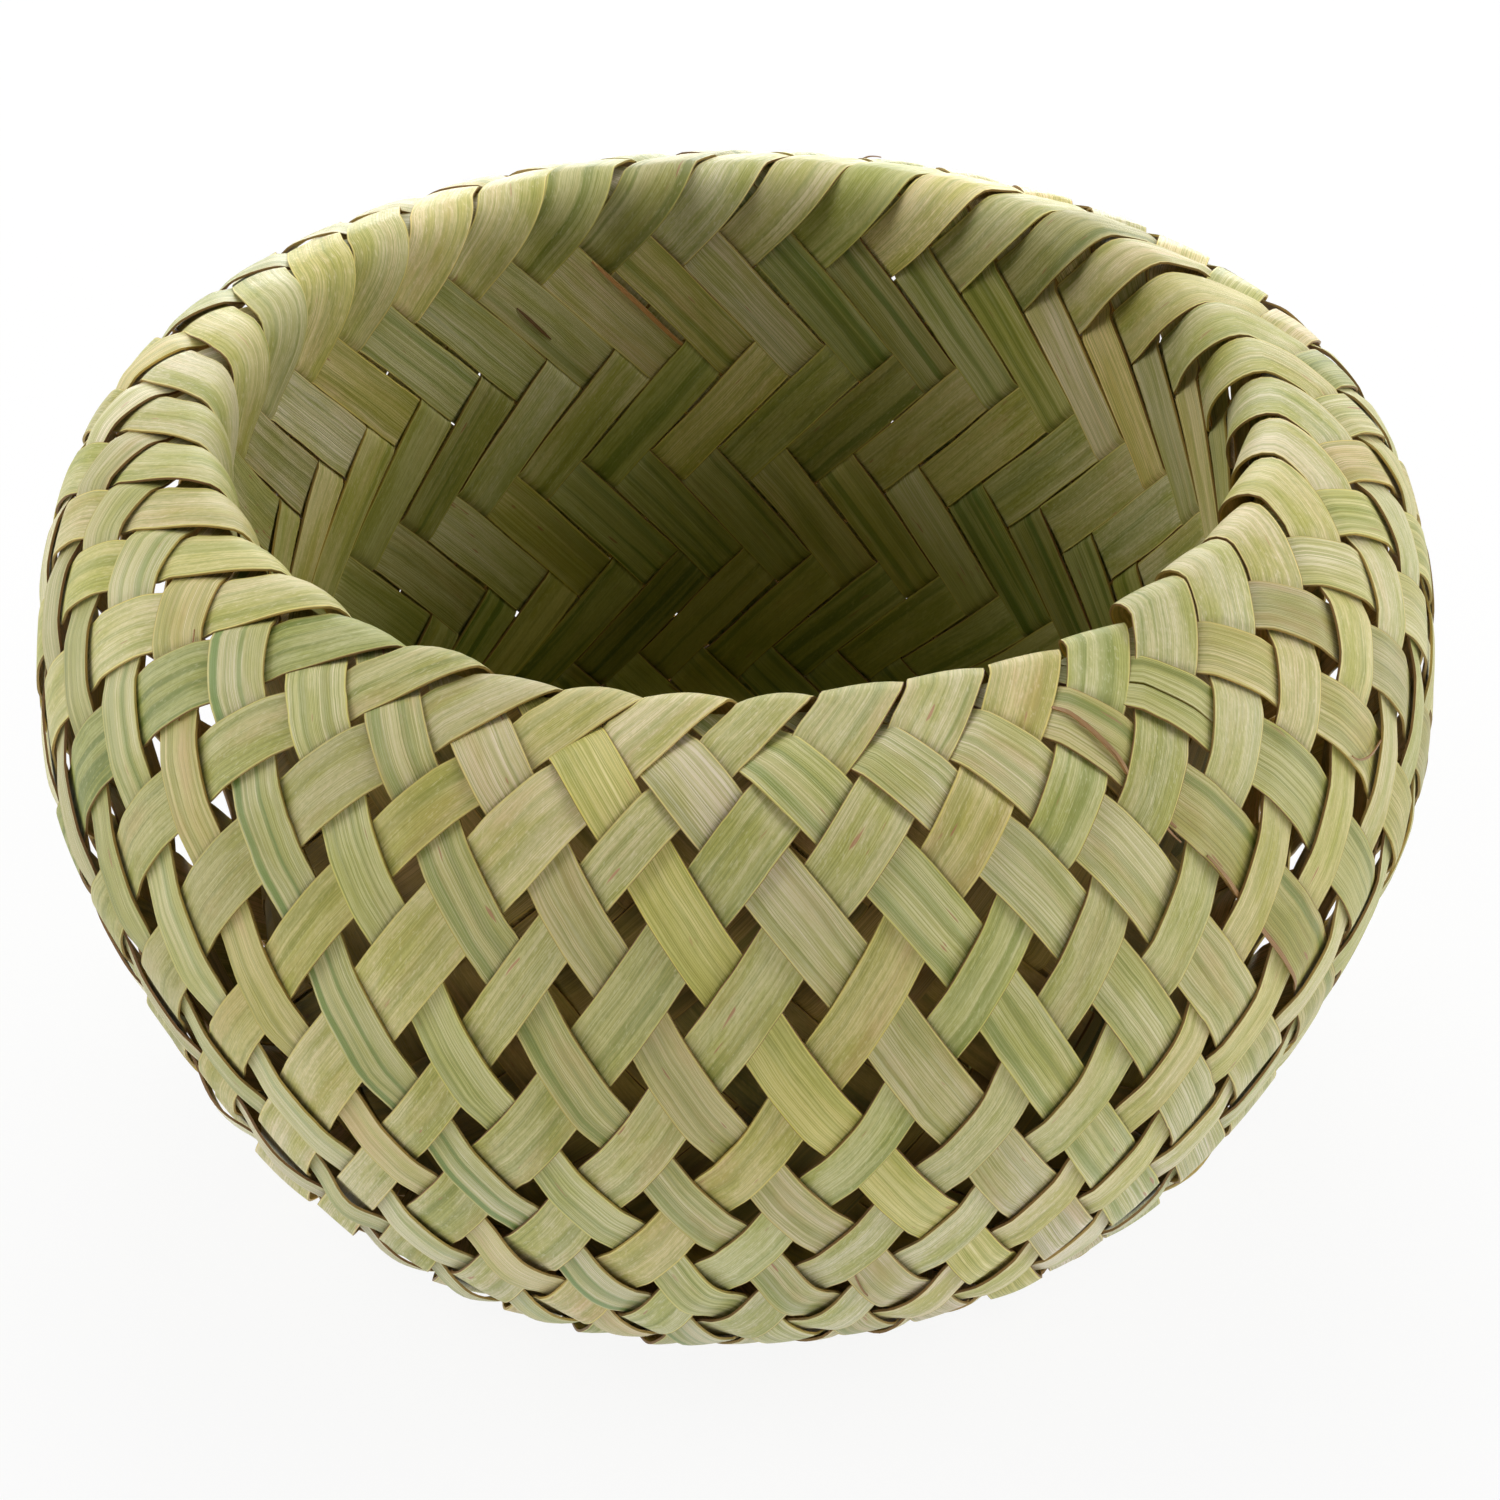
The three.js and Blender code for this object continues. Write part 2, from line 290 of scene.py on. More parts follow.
class Course:
    """Where one strip runs, how far it drifts from its line and how wide it is."""

    def __init__(self, quarter, number):
        self.quarter = quarter
        self.number = number
        self.line = number + 0.5
        self.seed = quarter * STRIPS_PER_SIDE + number
        self.dice = np.random.default_rng(1000 + self.seed)
        self.reach = LAST_ROW - self.line
        row = self.line + np.abs(ALONG)
        on_wall = smoothstep(row, RIM_END - 2, RIM_END + 1)
        on_foot = smoothstep(row, FOOT_ROW - 5, FOOT_ROW - 1)
        lead, follow = self.dice.uniform(-SIDESTEP, SIDESTEP, 2)
        phases = self.dice.uniform(0, FULL_TURN, 3)
        side = smoothstep(ALONG, -4, 4)
        sway = waves(ALONG, phases, SWAY_WAVES)
        self.drift = (mix(lead, follow, side) + sway) * mix(SWAY_INSIDE, 1.0, on_wall)

        lead_width = LEADING_WIDTHS[SIDES[quarter]][number]
        follow_width = FOLLOWING_WIDTHS[SIDES[quarter]][number]
        width = STRIP_WIDTH * mix(lead_width, follow_width, side) * mix(1.0, WALL_SHRINK, on_wall)
        width = width * (1 + WIDTH_WAVE * np.sin(ALONG * WIDTH_PACE + phases[2]))
        self.pitch = self.room_across()
        fill = width / self.pitch
        slack_waves = [np.sin(ALONG * pace + phase) for pace, phase in zip(SLACK_PACES, phases)]
        slack = SLACK_INSIDE * (1 + slack_waves[0] * slack_waves[1])
        most = mix(1 - slack, mix(FILL_WALL, FILL_FOOT, on_foot), on_wall)
        soft_start = most - FILL_SOFTNESS
        squeezed = soft_start + FILL_SOFTNESS * np.tanh((fill - soft_start) / FILL_SOFTNESS)
        self.half = np.where(fill < soft_start, fill, squeezed) / 2

    def room_across(self):
        """Width of one lattice step across the strip, in millimetres."""
        step = 0.05
        lengthwise = self.middle(ALONG + step) - self.middle(ALONG - step)
        crosswise = (lattice_point(self.line + step, ALONG, 0, self.quarter)
                     - lattice_point(self.line - step, ALONG, 0, self.quarter))
        area = np.linalg.norm(np.cross(lengthwise, crosswise), axis=1)
        return area / np.linalg.norm(lengthwise, axis=1) / (2 * step)

    def middle(self, along):
        return lattice_point(self.line, along, 0, self.quarter)

    def drift_at(self, along):
        return np.interp(along, ALONG, self.drift)

    def half_at(self, along):
        return np.interp(along, ALONG, self.half)

    def pitch_at(self, along):
        return np.interp(along, ALONG, self.pitch)


def crossed_by(course, row, leading):
    """Quarter and number of the strip that this one crosses in a row."""
    serial = course.quarter * STRIPS_PER_SIDE + course.number
    if leading:
        other = (serial - 9 - row) % STRIPS_AROUND
        quarter = -(-other // STRIPS_PER_SIDE)
        return quarter % 4, quarter * STRIPS_PER_SIDE - other
    other = (course.quarter * STRIPS_PER_SIDE - course.number + 9 + row) % STRIPS_AROUND
    return other // STRIPS_PER_SIDE, other % STRIPS_PER_SIDE


# Place along the strip, half width of the strip that it crosses there, side of the weave that
# it lies on (1 on the face, -1 behind) and row.
Crossing = namedtuple("Crossing", "place half_width side row")


def crossings_of(course, courses):
    crossings = []
    for leading in (True, False):
        for row in range(course.number + 1, math.floor(LAST_ROW) + 1):
            other = courses[crossed_by(course, row, leading)]
            beyond = (row - other.line) * (1 if leading else -1)
            away = row - course.line + other.drift_at(beyond)
            place = -away if leading else away
            side = 1 if leader_on_face(row) == leading else -1
            crossings.append(Crossing(place, other.half_at(beyond), side, row))
    return sorted(crossings)


# How far a strip arches where it floats on the face, in millimetres. Loops of the rim arch
# most, and round the foot some strips have worked loose.
EDGE_RUN = 0.09
FLOAT_ARCH = 0.08
LOOP_ARCH = (0.9, 2.4)
FOOT_ARCH = (0.0, 0.9)
ARCH_BEND = 2.0

# Quarter and number of the strips whose loops stand clear of the rim, at the basket's right.
LOOSE_LOOPS = [(0, 8), (0, 9), (1, 0), (1, 1), (1, 2), (1, 3), (1, 4)]
LOOSE_ARCH = 1.0
LOOSE_BEND = 1.3


def rise_profile(course, courses, along):
    """How far the strip stands off the middle surface, with a dip or a lift where it passes
    the edges of the strips that it crosses."""
    crossings = crossings_of(course, courses)
    opening = crossings[0]
    start = opening.place - 0.5
    rise = np.full(along.shape, RISE * opening.side)
    floats = []
    for before, after in zip(crossings, crossings[1:]):
        if before.side == after.side:
            continue
        leaves, meets = before.place + before.half_width, after.place - after.half_width
        centre = (leaves + meets) / 2
        run = max((meets - leaves) / 2, 0) + EDGE_RUN
        step = RISE * (after.side - before.side)
        rise = rise + step * smoothstep(along, centre - run, centre + run)
        floats.append((start, centre, opening))
        start, opening = centre, after
    floats.append((start, crossings[-1].place + 0.5, opening))

    dice = np.random.default_rng(2000 + course.seed)
    for start, end, opening in floats:
        if opening.side < 0:
            continue
        over_rim = end - start > 2.5 and RIM_END - FLOAT_ROWS < opening.row < RIM_END
        arch = dice.uniform(*LOOP_ARCH) if over_rim else FLOAT_ARCH * (end - start)
        if opening.row > FOOT_ROW:
            arch += dice.uniform(*FOOT_ARCH)
        bend = ARCH_BEND
        if over_rim and (course.quarter, course.number) in LOOSE_LOOPS:
            arch, bend = arch + LOOSE_ARCH, LOOSE_BEND
        share = np.clip((along - start) / (end - start), 0, 1)
        rise = rise + arch * np.sin(math.pi * share) ** bend
    return rise


CELLS_ALONG = 760
CELLS_ACROSS = 8
SLIT_COLUMN = CELLS_ACROSS // 2
SMOOTH_ANGLE = math.radians(40)

# How a strip tilts to one side and how its edges lie, in millimetres at its edges.
TILT_WAVES = ((0.14, 0.8), (0.06, 1.7))
TILT_INSIDE = 0.16
CUP_WAVE, CUP_PACE, CUP = 0.1, 0.6, -0.05

# Loops of the rim that keep a rounded back. The others are creased flat where they turn over.
ROUNDED_LOOPS = ([f"leaf_south_strip_{number:02d}" for number in range(1, 11)]
                 + [f"leaf_east_strip_{number:02d}" for number in range(1, 5)])
ROUNDED_TILT, ROUNDED_CUP = (-0.5, 0.0), (-0.7, -0.4)
CREASED_TILT, CREASED_CUP = (-1.0, -0.5), -0.1

# Strips that have split along their length: where the slit starts and ends along the strip,
# in crossings from its middle, and how wide it gapes, as a share of half the strip's width.
SLITS = {
    "leaf_north_strip_01": (26.9, 29.7, 0.09),
    "leaf_west_strip_08": (15.6, 17.4, 0.08),
    "leaf_south_strip_05": (-30.2, -28.6, 0.07),
}
SLIT_RUN_OUT = 0.2


def flat_grid(name, cells_along, cells_across):
    """A flat strip of cells, one unit long and wide, to be bent into its place."""
    bpy.ops.object.select_all(action="DESELECT")
    bpy.ops.mesh.primitive_grid_add(x_subdivisions=cells_along, y_subdivisions=cells_across, size=1)
    strip = bpy.context.object
    strip.name = strip.data.name = name
    return strip


def cells_of(strip, cells_along):
    """Column of every vertex along a flat grid, and its place across, from -1 to 1."""
    flat = np.empty(len(strip.data.vertices) * 3)
    strip.data.vertices.foreach_get("co", flat)
    flat = flat.reshape(-1, 3)
    column = np.rint((flat[:, 0] + 0.5) * cells_along).astype(int)
    return column, flat[:, 1] * 2


def place_vertices(strip, place, grain):
    """Moves every vertex to its place and writes where it lies on the leaf, along and across."""
    mesh = strip.data
    mesh.vertices.foreach_set("co", (place * METRES).ravel())
    at_corner = np.empty(len(mesh.loops), dtype=int)
    mesh.loops.foreach_get("vertex_index", at_corner)
    mesh.uv_layers[0].name = "grain"
    mesh.uv_layers[0].data.foreach_set("uv", grain[at_corner].ravel())


def cut_slit(strip, reach, start, end):
    """Opens a strip that is still flat between its two middle columns of cells."""
    cells = strip.data.polygons
    centres = np.empty(len(cells) * 3)
    cells.foreach_get("center", centres)
    centres = centres.reshape(-1, 3)
    along = centres[:, 0] * 2 * reach
    column = np.floor((centres[:, 1] + 0.5) * CELLS_ACROSS)
    bpy.ops.object.mode_set(mode="EDIT")
    bpy.ops.mesh.select_mode(type="FACE")
    bpy.ops.mesh.select_all(action="DESELECT")
    bpy.ops.object.mode_set(mode="OBJECT")
    cells.foreach_set("select", (along > start) & (along < end) & (column == SLIT_COLUMN))
    bpy.ops.object.mode_set(mode="EDIT")
    bpy.ops.mesh.delete(type="ONLY_FACE")
    bpy.ops.object.mode_set(mode="OBJECT")


def close_lips(across, along, start, end, gape):
    """Draws the lips of a slit together, to a narrow gap that runs out at both ends."""
    share = np.clip((along - start + SLIT_RUN_OUT) / (end - start + 2 * SLIT_RUN_OUT), 0, 1)
    slit_middle = 1 / CELLS_ACROSS
    lips = np.abs(across - slit_middle) < 1.1 * slit_middle
    side = np.sign(across - slit_middle)
    narrowed = slit_middle + side * gape * np.sin(math.pi * share) / 2
    closing = smoothstep(share, 0, 0.12) * (1 - smoothstep(share, 0.88, 1)) * lips
    return mix(across, narrowed, closing)


def lie_of_edges(name, course, stations, row):
    """How far the strip tilts and how far it is cupped, at every station along it."""
    in_lining = 1 - smoothstep(row, BAND_TOP - 1, RIM_END)
    phases = course.dice.uniform(0, FULL_TURN, 4)
    tilt = mix(waves(stations, phases, TILT_WAVES), TILT_INSIDE, in_lining)
    cup = CUP_WAVE * np.sin(stations * CUP_PACE + phases[2]) + CUP
    past_lining = smoothstep(row, BAND_TOP - 0.7, BAND_TOP + 0.9)
    before_wall = 1 - smoothstep(row, RIM_END - 0.6, RIM_END + 1)
    loop = past_lining * before_wall * (stations < 0)
    rounded = name in ROUNDED_LOOPS
    loop_tilt = course.dice.uniform(*(ROUNDED_TILT if rounded else CREASED_TILT))
    loop_cup = course.dice.uniform(*ROUNDED_CUP) if rounded else CREASED_CUP
    return mix(tilt, loop_tilt, loop), mix(cup, loop_cup, loop)


def mark_leaf(mesh, name, values):
    mesh.attributes.new(name, "FLOAT", "POINT").data.foreach_set("value", values)


def strip_mesh(name, course, courses):
    """A flat strip is laid out as a grid, plaited into its place, and given its thickness."""
    strip = flat_grid(name, CELLS_ALONG, CELLS_ACROSS)
    if name in SLITS:
        start, end, gape = SLITS[name]
        cut_slit(strip, course.reach, start, end)
    column, across = cells_of(strip, CELLS_ALONG)
    stations = np.linspace(-course.reach, course.reach, CELLS_ALONG + 1)
    along = stations[column]
    if name in SLITS:
        across = close_lips(across, along, start, end, gape)
    row = course.line + np.abs(stations)
    rise = rise_profile(course, courses, stations)
    tilt, cup = lie_of_edges(name, course, stations, row)
    rise_here = rise[column] + tilt[column] * across + cup[column] * across ** 2
    line = course.line + course.drift_at(along) + course.half_at(along) * across
    place = lattice_point(line, along, rise_here, course.quarter)

    middle_line = course.line + course.drift_at(stations)
    middle = lattice_point(middle_line, stations, 0, course.quarter)
    length = np.concatenate([[0], np.cumsum(np.linalg.norm(np.diff(middle, axis=0), axis=1))])
    length -= length[CELLS_ALONG // 2]
    half_width = course.half_at(stations) * course.pitch_at(stations)
    grain = np.stack([length[column], across * half_width[column]], axis=1)
    place_vertices(strip, place, grain)

    # The inside mark also darkens the colour as painted shade, deepest low in the lining and over
    # the base.
    into_lining = 1 - smoothstep(row, BAND_TOP - 13, BAND_TOP - 3)
    # The rim mark lightens the colour as painted light, and the foot mark as painted light from the
    # white floor and painted sheen.
    onto_rim = smoothstep(row, BAND_TOP - 5, BAND_TOP - 1)
    off_rim = 1 - smoothstep(row, RIM_END + 0.5, RIM_END + 3)
    onto_foot = smoothstep(row, RIM_END + 4, FOOT_ROW + 3)
    mark_leaf(strip.data, "from_edge", (1 - np.abs(across)) * half_width[column])
    mark_leaf(strip.data, "inside", into_lining[column])
    mark_leaf(strip.data, "rim", (onto_rim * off_rim)[column])
    mark_leaf(strip.data, "foot", onto_foot[column])
    strip.data.update()
    thicken_leaf(strip, THICKNESS)
    return strip


def thicken_leaf(strip, thickness):
    """Gives a leaf its thickness, and marks the side that it was laid out on as hidden."""
    thicken = strip.modifiers.new("leaf_thickness", "SOLIDIFY")
    thicken.thickness = thickness * METRES
    thicken.offset = 0
    flat_count = len(strip.data.vertices)
    bpy.ops.object.modifier_apply(modifier=thicken.name)
    hidden = np.arange(len(strip.data.vertices)) < flat_count
    mark_leaf(strip.data, "underside", hidden.astype(float))
    bpy.ops.object.shade_smooth_by_angle(angle=SMOOTH_ANGLE)


# Fibres that have come away from a strip, and marks on a strip: the strip, where they start
# and end along it, how far from its middle they lie at each end, as a share of half its
# width, their width, and how far they stand off it.
FIBRES = {
    "split_fibre_upper": ("north_strip_02", 26.75, 28.9, -0.05, 0.90, 0.8, 0.45),
    "split_fibre_lower": ("north_strip_02", 27.3, 29.0, 0.20, 1.15, 0.5, 0.60),
    "split_fibre_edge": ("north_strip_02", 29.4, 32.0, 0.92, 1.12, 0.7, 0.45),
    "loose_fibre_right": ("west_strip_10", 21.4, 22.6, 0.9, -1.2, 0.35, 0.75),
    "loose_fibre_foot": ("north_strip_08", 28.3, 29.3, 0.2, 0.8, 0.3, 0.50),
    "loose_fibre_left": ("east_strip_02", 27.9, 28.9, -0.8, -0.2, 0.3, 0.50),
    "loose_fibre_lining": ("south_strip_07", 22.4, 24.4, -0.5, -0.95, 0.35, 0.40),
}
MARKS = {
    "scar": ("east_strip_10", 14.2, 15.2, -0.32, -0.26, 0.6, 0.2),
    "orange_edge": ("south_strip_01", 21.8, 24.5, 0.92, 0.92, 0.8, 0.38),
}
FIBRE_CELLS = 90
FIBRE_THICKNESS = 0.2
FIBRE_ARCH = 0.25
FIBRE_TAPER = 0.4
FIBRE_GRAIN = 20


def fibre_mesh(name, course, courses, start, end, first_across, last_across, width, lift):
    """A thin fibre, laid out as a narrow grid and bent along the strip it came from."""
    fibre = flat_grid(name, FIBRE_CELLS, 2)
    column, across = cells_of(fibre, FIBRE_CELLS)
    stations = np.linspace(start, end, FIBRE_CELLS + 1)
    share = (stations - start) / (end - start)
    taper = np.sin(math.pi * np.clip(share, 0.03, 0.97)) ** FIBRE_TAPER
    centre = course.half_at(stations) * mix(first_across, last_across, smoothstep(share, 0, 1))
    thin = width / 2 * taper / course.pitch_at(stations)
    line = course.line + course.drift_at(stations) + centre
    rise = rise_profile(course, courses, stations) + lift + FIBRE_ARCH * np.sin(math.pi * share)
    place = lattice_point(line[column] + thin[column] * across, stations[column], rise[column],
                          course.quarter)
    grain = np.stack([(share[column] + 1) * FIBRE_GRAIN, across * width / 2], axis=1)
    place_vertices(fibre, place, grain)
    fibre.data.update()
    thicken_leaf(fibre, FIBRE_THICKNESS)
    return fibre


def set_inputs(tree, made, feeds):
    """Links a socket that is given, or sets a value that is given, on each named input."""
    for socket, value in feeds.items():
        if isinstance(value, bpy.types.NodeSocket):
            tree.links.new(value, made.inputs[socket])
        else:
            made.inputs[socket].default_value = value


def node(tree, kind, feeds=None, **settings):
    made = tree.nodes.new(kind)
    for name, value in settings.items():
        setattr(made, name, value)
    set_inputs(tree, made, feeds or {})
    return made


def calc(tree, operation, *values):
    return node(tree, "ShaderNodeMath", dict(enumerate(values)), operation=operation).outputs[0]


def fade(tree, value, low, high):
    """Rises from 0 to 1 as the value passes from low to high, which may lie below low."""
    return node(tree, "ShaderNodeMapRange", {"Value": value, "From Min": low, "From Max": high},
                interpolation_type="SMOOTHSTEP").outputs["Result"]


def blend(tree, share, under, over, how="MIX"):
    made = node(tree, "ShaderNodeMix", data_type="RGBA", blend_type=how)
    set_inputs(tree, made, {0: share, 6: under, 7: over})
    return made.outputs[2]


def between(tree, share, low, high):
    """A value between two others, at a share of the way."""
    if isinstance(low, bpy.types.NodeSocket):
        return calc(tree, "MULTIPLY_ADD", share, calc(tree, "SUBTRACT", high, low), low)
    return calc(tree, "MULTIPLY_ADD", share, high - low, low)


def linear(red, green, blue):
    """A colour as it is seen on a screen, from 0 to 255, in the light it stands for."""
    def channel(value):
        value /= 255
        return value / 12.92 if value <= 0.04045 else ((value + 0.055) / 1.055) ** 2.4
    return (channel(red), channel(green), channel(blue), 1.0)


# Patterns on a leaf: how often they change in a millimetre along it and across it, where they
# start in the noise, its detail and roughness, and how far they slant.
PATTERNS = {
    "fine": (0.016, 7.0, 0.0, 3.0, 0.6, 0.0),
    "lines": (0.006, 1.5, 11.0, 2.0, 0.5, 0.0),
    "bands": (0.010, 0.50, 23.0, 2.0, 0.5, 0.0),
    "smear": (0.045, 0.55, 29.0, 3.0, 0.6, 0.0),
    "cloud": (0.05, 0.22, 37.0, 4.0, 0.6, 0.0),
    "wrinkle": (0.9, 2.4, 51.0, 3.0, 0.6, 0.9),
    "speck": (0.16, 1.1, 67.0, 1.0, 0.5, 0.0),
    "mottle": (0.045, 0.2, 83.0, 5.0, 0.62, 0.0),
}
SEED_SPACING = 3.7

# The veins wander across the leaf by about this much.
WANDER = 1.1
WANDER_PATTERN = (0.06, 0.2, 5.0, 2.0, 0.5)

# Layers of colour that both halves of every strip have: their pattern, where in it they start
# and are full, and how strong they are on the following half and on the leading half.
LAYERS = {
    "veins": ("fine", 0.50, 0.60, 0.54, 0.34),
    "grooves": ("fine", 0.50, 0.40, 0.42, 0.30),
    "threads": ("threads", 0.014, 0.004, 0.60, 0.30),
    "smears": ("smear", 0.56, 0.72, 0.22, 0.42),
    "fresh": ("mottle", 0.42, 0.64, 0.80, 1.00),
    # Creases and lights are painted shade in the wrinkles and painted highlight on their ridges, on
    # the pattern that gives the wrinkles their relief.
    "crease_shade": ("wrinkle", 0.50, 0.30, 0.06, 0.24),
    "lights": ("wrinkle", 0.55, 0.70, 0.05, 0.28),
}

# The strip turns from its leading to its following half within this much of its middle.
TURN_OVER = 12

# Fine veins show less inside the basket, and broad streaks show more.
VEINS_INSIDE = 0.45
STREAKS_INSIDE = 0.35

# The dark green band of some strips, and the thinner one beside it: how far to the side it
# lies, half its width and how strong it is.
GREEN_BAND = linear(96, 124, 44)
BAND_LINES = ((0.0, 0.95, 1.0), (-4.1, 0.5, 0.6))
BAND_CORE = 0.4

# Patches that have kept more of their sap are darker and greener.
FRESH_TINT = (0.72, 0.76, 0.42, 1)

# Inside the basket the leaf is greener, as it has kept more of its green, and painted shade darkens
# it, most low in the lining and over the base.
INSIDE_SHADE_AND_GREEN = (0.45, 0.46, 0.19, 1)

# Over the rim, from the top of the lining to the top of the outer wall, painted light makes the
# leaf paler and greyer; round the foot painted light from the white floor and painted sheen make
# it paler still. The hidden side of the leaf is brown.
RIM_PAINTED_LIGHT = (1.22, 1.20, 1.42, 1)
FOOT_PAINTED_LIGHT = (1.34, 1.35, 2.0, 1)
UNDERSIDE_TINT = (0.98, 0.72, 0.42, 1)

# Specks, and the line along a strip's edge, which is pale, and brown at the cut itself.
SPECK_COLOR = linear(158, 98, 70)
CUT_COLOR = linear(120, 86, 48)
PALE_EDGE_FROM, PALE_EDGE_TO = 0.34, 0.16
CUT_FROM, CUT_TO = 0.14, 0.03


def leaf_surface():
    """Colour, gloss and relief of a leaf strip: veins and streaks along it, fine wrinkles
    across it with painted shade in them and painted highlight on their ridges, blushes of tan,
    specks, the pale or brown line of its cut edges, painted shade inside the basket, and painted
    light over the rim and round the foot."""
    tree = bpy.data.node_groups.new("leaf_surface", "ShaderNodeTree")
    for name in ("Leaf", "Vein", "Streak", "Blush", "Edge", "Leading Tint", "Following Tint"):
        tree.interface.new_socket(name, in_out="INPUT", socket_type="NodeSocketColor")
    for name in ("Seed", "Leading Streaks", "Following Streaks", "Leading Blush", "Following Blush",
                 "Specks", "Edge Strength", "Brown Cut", "Band Place", "Band Strength"):
        tree.interface.new_socket(name, in_out="INPUT", socket_type="NodeSocketFloat")
    for name, kind in (("Color", "NodeSocketColor"), ("Roughness", "NodeSocketFloat"),
                       ("Height", "NodeSocketFloat")):
        tree.interface.new_socket(name, in_out="OUTPUT", socket_type=kind)
    given = tree.nodes.new("NodeGroupInput").outputs
    result = tree.nodes.new("NodeGroupOutput")

    def times(*values):
        product = values[0]
        for value in values[1:]:
            product = calc(tree, "MULTIPLY", product, value)
        return product

    def marked(name):
        return node(tree, "ShaderNodeAttribute", attribute_name=name).outputs["Fac"]

    def noise(x, y, shift, detail, rough):
        z = calc(tree, "MULTIPLY_ADD", given["Seed"], SEED_SPACING, shift)
        place = node(tree, "ShaderNodeCombineXYZ", {"X": x, "Y": y, "Z": z}).outputs[0]
        return node(tree, "ShaderNodeTexNoise",
                    {"Vector": place, "Scale": 1.0, "Detail": detail, "Roughness": rough}).outputs[0]

    grain = node(tree, "ShaderNodeUVMap", uv_map="grain").outputs["UV"]
    parts = node(tree, "ShaderNodeSeparateXYZ", {"Vector": grain}).outputs
    along, straight_across = parts["X"], parts["Y"]
    wander_along, wander_across, *wander_noise = WANDER_PATTERN
    wander = noise(times(along, wander_along), times(straight_across, wander_across), *wander_noise)
    wander = calc(tree, "SUBTRACT", wander, 0.5)
    across = calc(tree, "MULTIPLY_ADD", wander, WANDER, straight_across)

    def pattern(along_scale, across_scale, shift, detail, rough, slant):
        x = times(along, along_scale)
        if slant:
            x = calc(tree, "ADD", x, times(across, slant * along_scale))
        return noise(x, times(across, across_scale), shift, detail, rough)

    patterns = {name: pattern(*values) for name, values in PATTERNS.items()}
    off_middle = calc(tree, "SUBTRACT", patterns["lines"], 0.5)
    patterns["threads"] = calc(tree, "ABSOLUTE", off_middle)
    inside = marked("inside")
    leading = fade(tree, along, TURN_OVER, -TURN_OVER)
    following = calc(tree, "SUBTRACT", 1.0, leading)

    def layer(name):
        source, start, full, on_following, on_leading = LAYERS[name]
        return times(fade(tree, patterns[source], start, full),
                     between(tree, leading, on_following, on_leading))

    def by_half(value):
        return between(tree, leading, given[f"Following {value}"], given[f"Leading {value}"])

    clear = between(tree, inside, 1.0, VEINS_INSIDE)
    color = blend(tree, times(layer("veins"), clear), given["Leaf"], given["Vein"])
    color = blend(tree, times(layer("grooves"), clear), color, given["Streak"])
    color = blend(tree, layer("threads"), color, given["Vein"])
    streakiness = calc(tree, "MULTIPLY_ADD", inside, STREAKS_INSIDE, by_half("Streaks"))
    streaks = times(fade(tree, patterns["bands"], 0.52, 0.64), streakiness)
    color = blend(tree, streaks, color, given["Streak"])
    for shift, half_width, strength in BAND_LINES:
        away = calc(tree, "SUBTRACT", across, shift)
        away = calc(tree, "ABSOLUTE", calc(tree, "SUBTRACT", away, given["Band Place"]))
        band = fade(tree, away, half_width, half_width * BAND_CORE)
        band = times(band, strength, following, given["Band Strength"])
        color = blend(tree, band, color, GREEN_BAND)
    color = blend(tree, layer("smears"), color, given["Streak"])
    tan = times(fade(tree, patterns["cloud"], 0.48, 0.70), by_half("Blush"))
    color = blend(tree, tan, color, given["Blush"])
    color = blend(tree, layer("fresh"), color, FRESH_TINT, how="MULTIPLY")
    # Painted shade in the wrinkles and painted highlight on their ridges.
    color = blend(tree, layer("crease_shade"), color, given["Streak"])
    color = blend(tree, layer("lights"), color, given["Vein"])
    spots = times(fade(tree, patterns["speck"], 0.74, 0.78), given["Specks"])
    color = blend(tree, spots, color, SPECK_COLOR)
    from_edge = marked("from_edge")
    pale_edge = fade(tree, from_edge, PALE_EDGE_FROM, PALE_EDGE_TO)
    color = blend(tree, times(pale_edge, given["Edge Strength"]), color, given["Edge"])
    tint = blend(tree, leading, given["Following Tint"], given["Leading Tint"])
    color = blend(tree, 1.0, color, tint, how="MULTIPLY")
    # Painted shade inside the basket, painted light over the rim and round the foot, and the brown
    # of the leaf's hidden side.
    for place, place_tint in (("inside", INSIDE_SHADE_AND_GREEN), ("rim", RIM_PAINTED_LIGHT), ("foot", FOOT_PAINTED_LIGHT),
                              ("underside", UNDERSIDE_TINT)):
        color = blend(tree, marked(place), color, place_tint, how="MULTIPLY")
    cut = times(fade(tree, from_edge, CUT_FROM, CUT_TO), given["Brown Cut"])
    color = blend(tree, cut, color, CUT_COLOR)
    tree.links.new(color, result.inputs["Color"])

    gloss = calc(tree, "MULTIPLY_ADD", patterns["fine"], 0.2, 0.36)
    roughness = calc(tree, "MULTIPLY_ADD", leading, 0.06, gloss)
    tree.links.new(roughness, result.inputs["Roughness"])
    relief = times(patterns["fine"], between(tree, leading, 1.0, 0.5))
    relief = calc(tree, "MULTIPLY_ADD", patterns["lines"], 0.8, relief)
    wrinkling = between(tree, leading, 0.12, 0.5)
    relief = calc(tree, "MULTIPLY_ADD", patterns["wrinkle"], wrinkling, relief)
    tree.links.new(relief, result.inputs["Height"])
    return tree


LEAF_SURFACE = leaf_surface()

# Leaf, vein, streak, blush and cut edge colours of each tone.
TONES = {
    "sage_leaf": [(186, 178, 114), (219, 211, 167), (112, 123, 38), (192, 162, 106),
                  (204, 194, 104)],
    "straw_leaf": [(191, 183, 122), (223, 214, 173), (122, 131, 46), (194, 164, 110),
                   (206, 194, 106)],
    "olive_leaf": [(178, 172, 105), (213, 206, 159), (102, 116, 34), (186, 158, 100),
                   (197, 188, 96)],
    "yellow_leaf": [(188, 180, 106), (218, 210, 156), (116, 127, 36), (192, 162, 104),
                    (204, 194, 98)],
    "deep_leaf": [(173, 168, 102), (209, 202, 155), (98, 113, 32), (182, 154, 98),
                  (193, 181, 92)],
}
